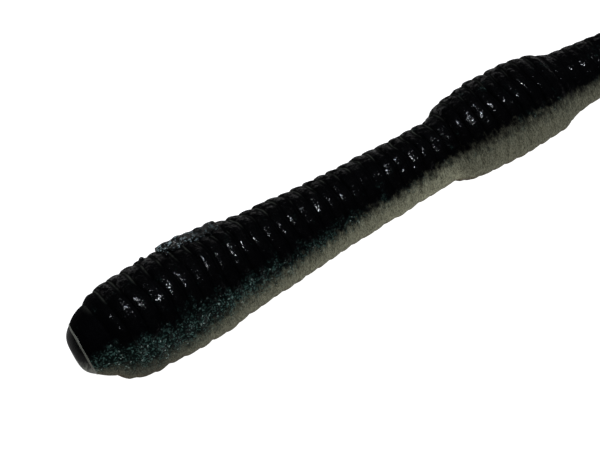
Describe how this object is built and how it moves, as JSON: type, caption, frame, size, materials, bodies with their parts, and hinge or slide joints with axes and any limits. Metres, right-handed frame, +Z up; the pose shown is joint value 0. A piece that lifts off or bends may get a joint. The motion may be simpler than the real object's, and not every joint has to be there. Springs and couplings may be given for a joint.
{
  "type": "soft plastic fishing worm",
  "caption": "Ringed soft plastic fishing worm with a blunt head, a raised collar and a long tapering tail that bends all along its length.",
  "frame": {"origin": "centre of the worm's footprint, on the surface that its belly rests on", "axes": "+X along the body from nose to tail, +Y to the side that carries the moulding flash, +Z up"},
  "size_m": [0.178, 0.0106, 0.0105],
  "materials": {
    "black_plastisol": "gloss",
    "cut_plastisol": "satin",
    "flash_plastisol": "gloss"
  },
  "bodies": {
    "collar_middle": {"collar_middle": "black_plastisol"},
    "head": {"head": "black_plastisol", "gate_scar": "cut_plastisol", "flash_bead": "flash_plastisol"},
    "fore_body_1": {"fore_body_1": "black_plastisol", "flash_strip": "flash_plastisol"},
    "fore_body_2": {"fore_body_2": "black_plastisol"},
    "fore_body_3": {"fore_body_3": "black_plastisol"},
    "fore_body_4": {"fore_body_4": "black_plastisol"},
    "fore_body_5": {"fore_body_5": "black_plastisol"},
    "fore_body_6": {"fore_body_6": "black_plastisol"},
    "collar_front": {"collar_front": "black_plastisol"},
    "collar_rear": {"collar_rear": "black_plastisol"},
    "tail_01": {"tail_01": "black_plastisol"},
    "tail_02": {"tail_02": "black_plastisol"},
    "tail_03": {"tail_03": "black_plastisol"},
    "tail_04": {"tail_04": "black_plastisol"},
    "tail_05": {"tail_05": "black_plastisol"},
    "tail_06": {"tail_06": "black_plastisol"},
    "tail_07": {"tail_07": "black_plastisol"},
    "tail_08": {"tail_08": "black_plastisol"},
    "tail_09": {"tail_09": "black_plastisol"},
    "tail_10": {"tail_10": "black_plastisol"},
    "tail_11": {"tail_11": "black_plastisol"},
    "tail_12": {"tail_12": "black_plastisol"},
    "tail_13": {"tail_13": "black_plastisol"},
    "tail_14": {"tail_14": "black_plastisol"},
    "tail_15": {"tail_15": "black_plastisol"},
    "tail_16": {"tail_16": "black_plastisol"},
    "tail_17": {"tail_17": "black_plastisol"},
    "tail_tip": {"tail_tip": "black_plastisol"}
  },
  "joints": [
    {"name": "side_bend_01", "type": "hinge", "parent": "fore_body_1", "child": "head", "pos_m": [-0.07749, 0, 0.00519], "axis": [0, 0, 1], "range_deg": [-12, 12], "stiffness_Nm_per_rad": 0.00307},
    {"name": "vertical_bend_02", "type": "hinge", "parent": "fore_body_2", "child": "fore_body_1", "pos_m": [-0.07132, 0, 0.00497], "axis": [0, -1, 0], "range_deg": [-12, 12], "stiffness_Nm_per_rad": 0.00331},
    {"name": "side_bend_03", "type": "hinge", "parent": "fore_body_3", "child": "fore_body_2", "pos_m": [-0.06546, 0, 0.00476], "axis": [0, 0, 1], "range_deg": [-12, 12], "stiffness_Nm_per_rad": 0.00221},
    {"name": "vertical_bend_04", "type": "hinge", "parent": "fore_body_4", "child": "fore_body_3", "pos_m": [-0.05978, 0, 0.00456], "axis": [0, -1, 0], "range_deg": [-12, 12], "stiffness_Nm_per_rad": 0.00151},
    {"name": "side_bend_05", "type": "hinge", "parent": "fore_body_5", "child": "fore_body_4", "pos_m": [-0.05419, 0, 0.00436], "axis": [0, 0, 1], "range_deg": [-12, 12], "stiffness_Nm_per_rad": 0.00113},
    {"name": "vertical_bend_06", "type": "hinge", "parent": "fore_body_6", "child": "fore_body_5", "pos_m": [-0.04865, 0, 0.00428], "axis": [0, -1, 0], "range_deg": [-12, 12], "stiffness_Nm_per_rad": 0.00103},
    {"name": "side_bend_07", "type": "hinge", "parent": "collar_front", "child": "fore_body_6", "pos_m": [-0.04452, 0, 0.00433], "axis": [0, 0, 1], "range_deg": [-12, 12], "stiffness_Nm_per_rad": 0.00155},
    {"name": "vertical_bend_08", "type": "hinge", "parent": "collar_middle", "child": "collar_front", "pos_m": [-0.04039, 0, 0.00445], "axis": [0, -1, 0], "range_deg": [-12, 12], "stiffness_Nm_per_rad": 0.00362},
    {"name": "side_bend_09", "type": "hinge", "parent": "collar_middle", "child": "collar_rear", "pos_m": [-0.03627, 0, 0.00443], "axis": [0, 0, 1], "range_deg": [-12, 12], "stiffness_Nm_per_rad": 0.00355},
    {"name": "vertical_bend_10", "type": "hinge", "parent": "collar_rear", "child": "tail_01", "pos_m": [-0.03216, 0, 0.00419], "axis": [0, -1, 0], "range_deg": [-20, 20], "stiffness_Nm_per_rad": 0.00131},
    {"name": "side_bend_11", "type": "hinge", "parent": "tail_01", "child": "tail_02", "pos_m": [-0.0253, 0, 0.00397], "axis": [0, 0, 1], "range_deg": [-20, 20], "stiffness_Nm_per_rad": 0.000578},
    {"name": "vertical_bend_12", "type": "hinge", "parent": "tail_02", "child": "tail_03", "pos_m": [-0.01845, 0, 0.00374], "axis": [0, -1, 0], "range_deg": [-20, 20], "stiffness_Nm_per_rad": 0.000545},
    {"name": "side_bend_13", "type": "hinge", "parent": "tail_03", "child": "tail_04", "pos_m": [-0.0116, 0, 0.0035], "axis": [0, 0, 1], "range_deg": [-20, 20], "stiffness_Nm_per_rad": 0.000514},
    {"name": "vertical_bend_14", "type": "hinge", "parent": "tail_04", "child": "tail_05", "pos_m": [-0.00475, 0, 0.00327], "axis": [0, -1, 0], "range_deg": [-20, 20], "stiffness_Nm_per_rad": 0.000484},
    {"name": "side_bend_15", "type": "hinge", "parent": "tail_05", "child": "tail_06", "pos_m": [0.00211, 0, 0.00303], "axis": [0, 0, 1], "range_deg": [-20, 20], "stiffness_Nm_per_rad": 0.000455},
    {"name": "vertical_bend_16", "type": "hinge", "parent": "tail_06", "child": "tail_07", "pos_m": [0.00895, 0, 0.0029], "axis": [0, -1, 0], "range_deg": [-20, 20], "stiffness_Nm_per_rad": 0.000411},
    {"name": "side_bend_17", "type": "hinge", "parent": "tail_07", "child": "tail_08", "pos_m": [0.0158, 0, 0.00278], "axis": [0, 0, 1], "range_deg": [-20, 20], "stiffness_Nm_per_rad": 0.000351},
    {"name": "vertical_bend_18", "type": "hinge", "parent": "tail_08", "child": "tail_09", "pos_m": [0.02266, 0, 0.00267], "axis": [0, -1, 0], "range_deg": [-20, 20], "stiffness_Nm_per_rad": 0.000298},
    {"name": "side_bend_19", "type": "hinge", "parent": "tail_09", "child": "tail_10", "pos_m": [0.0295, 0, 0.00255], "axis": [0, 0, 1], "range_deg": [-20, 20], "stiffness_Nm_per_rad": 0.000251},
    {"name": "vertical_bend_20", "type": "hinge", "parent": "tail_10", "child": "tail_11", "pos_m": [0.03635, 0, 0.00244], "axis": [0, -1, 0], "range_deg": [-20, 20], "stiffness_Nm_per_rad": 0.00021},
    {"name": "side_bend_21", "type": "hinge", "parent": "tail_11", "child": "tail_12", "pos_m": [0.04321, 0, 0.00232], "axis": [0, 0, 1], "range_deg": [-20, 20], "stiffness_Nm_per_rad": 0.000175},
    {"name": "vertical_bend_22", "type": "hinge", "parent": "tail_12", "child": "tail_13", "pos_m": [0.05006, 0, 0.00221], "axis": [0, -1, 0], "range_deg": [-20, 20], "stiffness_Nm_per_rad": 0.000144},
    {"name": "side_bend_23", "type": "hinge", "parent": "tail_13", "child": "tail_14", "pos_m": [0.0569, 0, 0.00209], "axis": [0, 0, 1], "range_deg": [-20, 20], "stiffness_Nm_per_rad": 0.000117},
    {"name": "vertical_bend_24", "type": "hinge", "parent": "tail_14", "child": "tail_15", "pos_m": [0.06376, 0, 0.00198], "axis": [0, -1, 0], "range_deg": [-20, 20], "stiffness_Nm_per_rad": 0.0000941},
    {"name": "side_bend_25", "type": "hinge", "parent": "tail_15", "child": "tail_16", "pos_m": [0.07061, 0, 0.00186], "axis": [0, 0, 1], "range_deg": [-20, 20], "stiffness_Nm_per_rad": 0.0000748},
    {"name": "vertical_bend_26", "type": "hinge", "parent": "tail_16", "child": "tail_17", "pos_m": [0.07745, 0, 0.00174], "axis": [0, -1, 0], "range_deg": [-20, 20], "stiffness_Nm_per_rad": 0.0000586},
    {"name": "side_bend_27", "type": "hinge", "parent": "tail_17", "child": "tail_tip", "pos_m": [0.08431, 0, 0.00162], "axis": [0, 0, 1], "range_deg": [-20, 20], "stiffness_Nm_per_rad": 0.0000524}
  ]
}
